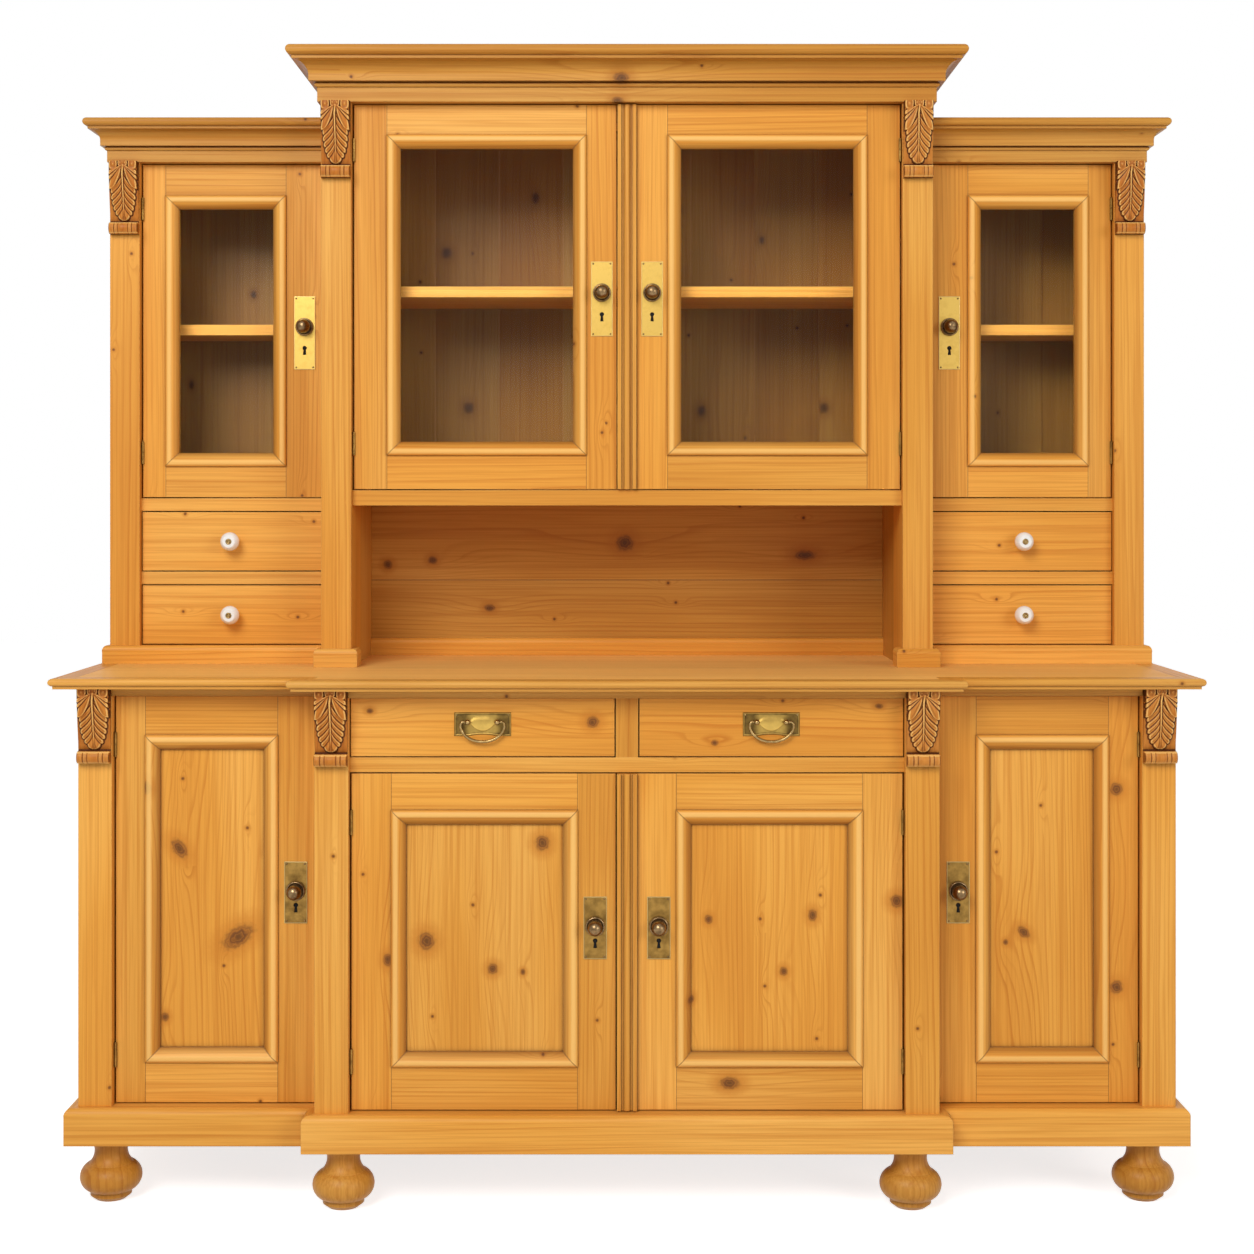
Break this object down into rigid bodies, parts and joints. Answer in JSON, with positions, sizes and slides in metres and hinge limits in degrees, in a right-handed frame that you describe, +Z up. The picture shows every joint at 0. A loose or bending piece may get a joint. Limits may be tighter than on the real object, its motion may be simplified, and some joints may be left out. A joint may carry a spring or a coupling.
{
  "type": "welsh dresser",
  "caption": "Breakfront pine kitchen dresser: panelled cupboard base with drawers and a worktop, and a glazed upper cupboard over an open alcove between drawer towers.",
  "frame": {"origin": "on the floor, under the middle of the dresser's overall box", "axes": "+Z up, +X to the right seen from the front, front facing -Y"},
  "size_m": [1.987, 0.6174, 2.009],
  "materials": {
    "pine": "waxed satin",
    "bright_brass": "polished",
    "antique_brass": "aged",
    "bronze": "dark patina",
    "porcelain": "glazed",
    "glass": "clear"
  },
  "bodies": {
    "carcass": {"feet": "pine", "plinth": "pine", "base_side_panels": "pine", "base_posts": "pine", "base_shelf_boards": "pine", "base_rails": "pine", "base_back_boards": "pine", "worktop": "pine", "bed_moulding": "pine", "upper_plinth": "pine", "upper_side_panels": "pine", "upper_posts": "pine", "upper_rails": "pine", "upper_shelf_boards": "pine", "upper_back_boards": "pine", "cornice": "pine", "carved_corbels": "pine", "hinge_leaves": "bronze"},
    "right_base_side_door": {"right_base_side_door": "pine", "right_base_side_fittings": "antique_brass"},
    "right_base_side_knob": {"right_base_side_knob": "bronze"},
    "right_base_centre_door": {"right_base_centre_door": "pine", "right_base_centre_fittings": "antique_brass"},
    "right_base_centre_knob": {"right_base_centre_knob": "bronze"},
    "right_upper_side_door": {"right_upper_side_door": "pine", "right_upper_side_fittings": "bright_brass", "right_upper_side_glass": "glass"},
    "right_upper_side_knob": {"right_upper_side_knob": "bronze"},
    "right_upper_centre_door": {"right_upper_centre_door": "pine", "right_upper_centre_fittings": "bright_brass", "right_upper_centre_glass": "glass"},
    "right_upper_centre_knob": {"right_upper_centre_knob": "bronze"},
    "right_small_upper_drawer": {"right_small_upper_drawer": "pine", "right_small_upper_drawer_knob": "porcelain"},
    "right_small_lower_drawer": {"right_small_lower_drawer": "pine", "right_small_lower_drawer_knob": "porcelain"},
    "right_wide_drawer": {"right_wide_drawer": "pine", "right_wide_drawer_handle_plate": "antique_brass"},
    "right_wide_drawer_bail": {"right_wide_drawer_bail": "antique_brass"},
    "left_base_side_door": {"left_base_side_door": "pine", "left_base_side_fittings": "antique_brass"},
    "left_base_side_knob": {"left_base_side_knob": "bronze"},
    "left_base_centre_door": {"left_base_centre_door": "pine", "left_base_centre_fittings": "antique_brass"},
    "left_base_centre_knob": {"left_base_centre_knob": "bronze"},
    "left_upper_side_door": {"left_upper_side_door": "pine", "left_upper_side_fittings": "bright_brass", "left_upper_side_glass": "glass"},
    "left_upper_side_knob": {"left_upper_side_knob": "bronze"},
    "left_upper_centre_door": {"left_upper_centre_door": "pine", "left_upper_centre_fittings": "bright_brass", "left_upper_centre_glass": "glass"},
    "left_upper_centre_knob": {"left_upper_centre_knob": "bronze"},
    "left_small_upper_drawer": {"left_small_upper_drawer": "pine", "left_small_upper_drawer_knob": "porcelain"},
    "left_small_lower_drawer": {"left_small_lower_drawer": "pine", "left_small_lower_drawer_knob": "porcelain"},
    "left_wide_drawer": {"left_wide_drawer": "pine", "left_wide_drawer_handle_plate": "antique_brass"},
    "left_wide_drawer_bail": {"left_wide_drawer_bail": "antique_brass"}
  },
  "joints": [
    {"name": "right_base_side_door_hinge", "type": "hinge", "parent": "carcass", "child": "right_base_side_door", "pos_m": [0.8731, -0.2092, 0.515], "axis": [0, 0, 1], "range_deg": [0, 95]},
    {"name": "right_base_side_knob_turn", "type": "hinge", "parent": "right_base_side_door", "child": "right_base_side_knob", "pos_m": [0.5655, -0.2063, 0.52987], "axis": [0, -1, 0], "range_deg": [0, 90]},
    {"name": "right_base_centre_door_hinge", "type": "hinge", "parent": "carcass", "child": "right_base_centre_door", "pos_m": [0.4651, -0.2532, 0.45175], "axis": [0, 0, 1], "range_deg": [0, 95]},
    {"name": "right_base_centre_knob_turn", "type": "hinge", "parent": "right_base_centre_door", "child": "right_base_centre_knob", "pos_m": [0.0537, -0.2503, 0.47818], "axis": [0, -1, 0], "range_deg": [0, 90]},
    {"name": "right_upper_side_door_hinge", "type": "hinge", "parent": "carcass", "child": "right_upper_side_door", "pos_m": [0.8951, 0.0908, 1.5095], "axis": [0, 0, 1], "range_deg": [0, 95]},
    {"name": "right_upper_side_knob_turn", "type": "hinge", "parent": "right_upper_side_door", "child": "right_upper_side_knob", "pos_m": [0.596, 0.0937, 1.51679], "axis": [0, -1, 0], "range_deg": [0, 90]},
    {"name": "right_upper_centre_door_hinge", "type": "hinge", "parent": "carcass", "child": "right_upper_centre_door", "pos_m": [0.4941, 0.0058, 1.56425], "axis": [0, 0, 1], "range_deg": [0, 95]},
    {"name": "right_upper_centre_knob_turn", "type": "hinge", "parent": "right_upper_centre_door", "child": "right_upper_centre_knob", "pos_m": [0.0455, 0.0087, 1.57175], "axis": [0, -1, 0], "range_deg": [0, 90]},
    {"name": "right_small_upper_drawer_slide", "type": "slide", "parent": "carcass", "child": "right_small_upper_drawer", "axis": [0, -1, 0], "range_m": [0, 0.11]},
    {"name": "right_small_lower_drawer_slide", "type": "slide", "parent": "carcass", "child": "right_small_lower_drawer", "axis": [0, -1, 0], "range_m": [0, 0.11]},
    {"name": "right_wide_drawer_slide", "type": "slide", "parent": "carcass", "child": "right_wide_drawer", "axis": [0, -1, 0], "range_m": [0, 0.36]},
    {"name": "right_wide_drawer_bail_swing", "type": "hinge", "parent": "right_wide_drawer", "child": "right_wide_drawer_bail", "pos_m": [0.2435, -0.2593, 0.82275], "axis": [-1, 0, 0], "range_deg": [0, 85]},
    {"name": "left_base_side_door_hinge", "type": "hinge", "parent": "carcass", "child": "left_base_side_door", "pos_m": [-0.8731, -0.2092, 0.515], "axis": [0, 0, -1], "range_deg": [0, 95]},
    {"name": "left_base_side_knob_turn", "type": "hinge", "parent": "left_base_side_door", "child": "left_base_side_knob", "pos_m": [-0.5655, -0.2063, 0.52987], "axis": [0, 1, 0], "range_deg": [0, 90]},
    {"name": "left_base_centre_door_hinge", "type": "hinge", "parent": "carcass", "child": "left_base_centre_door", "pos_m": [-0.4651, -0.2532, 0.45175], "axis": [0, 0, -1], "range_deg": [0, 95]},
    {"name": "left_base_centre_knob_turn", "type": "hinge", "parent": "left_base_centre_door", "child": "left_base_centre_knob", "pos_m": [-0.0537, -0.2503, 0.47818], "axis": [0, 1, 0], "range_deg": [0, 90]},
    {"name": "left_upper_side_door_hinge", "type": "hinge", "parent": "carcass", "child": "left_upper_side_door", "pos_m": [-0.8951, 0.0908, 1.5095], "axis": [0, 0, -1], "range_deg": [0, 95]},
    {"name": "left_upper_side_knob_turn", "type": "hinge", "parent": "left_upper_side_door", "child": "left_upper_side_knob", "pos_m": [-0.596, 0.0937, 1.51679], "axis": [0, 1, 0], "range_deg": [0, 90]},
    {"name": "left_upper_centre_door_hinge", "type": "hinge", "parent": "carcass", "child": "left_upper_centre_door", "pos_m": [-0.4941, 0.0058, 1.56425], "axis": [0, 0, -1], "range_deg": [0, 95]},
    {"name": "left_upper_centre_knob_turn", "type": "hinge", "parent": "left_upper_centre_door", "child": "left_upper_centre_knob", "pos_m": [-0.0455, 0.0087, 1.57175], "axis": [0, 1, 0], "range_deg": [0, 90]},
    {"name": "left_small_upper_drawer_slide", "type": "slide", "parent": "carcass", "child": "left_small_upper_drawer", "axis": [0, -1, 0], "range_m": [0, 0.11]},
    {"name": "left_small_lower_drawer_slide", "type": "slide", "parent": "carcass", "child": "left_small_lower_drawer", "axis": [0, -1, 0], "range_m": [0, 0.11]},
    {"name": "left_wide_drawer_slide", "type": "slide", "parent": "carcass", "child": "left_wide_drawer", "axis": [0, -1, 0], "range_m": [0, 0.36]},
    {"name": "left_wide_drawer_bail_swing", "type": "hinge", "parent": "left_wide_drawer", "child": "left_wide_drawer_bail", "pos_m": [-0.2435, -0.2593, 0.82275], "axis": [-1, 0, 0], "range_deg": [0, 85]}
  ]
}
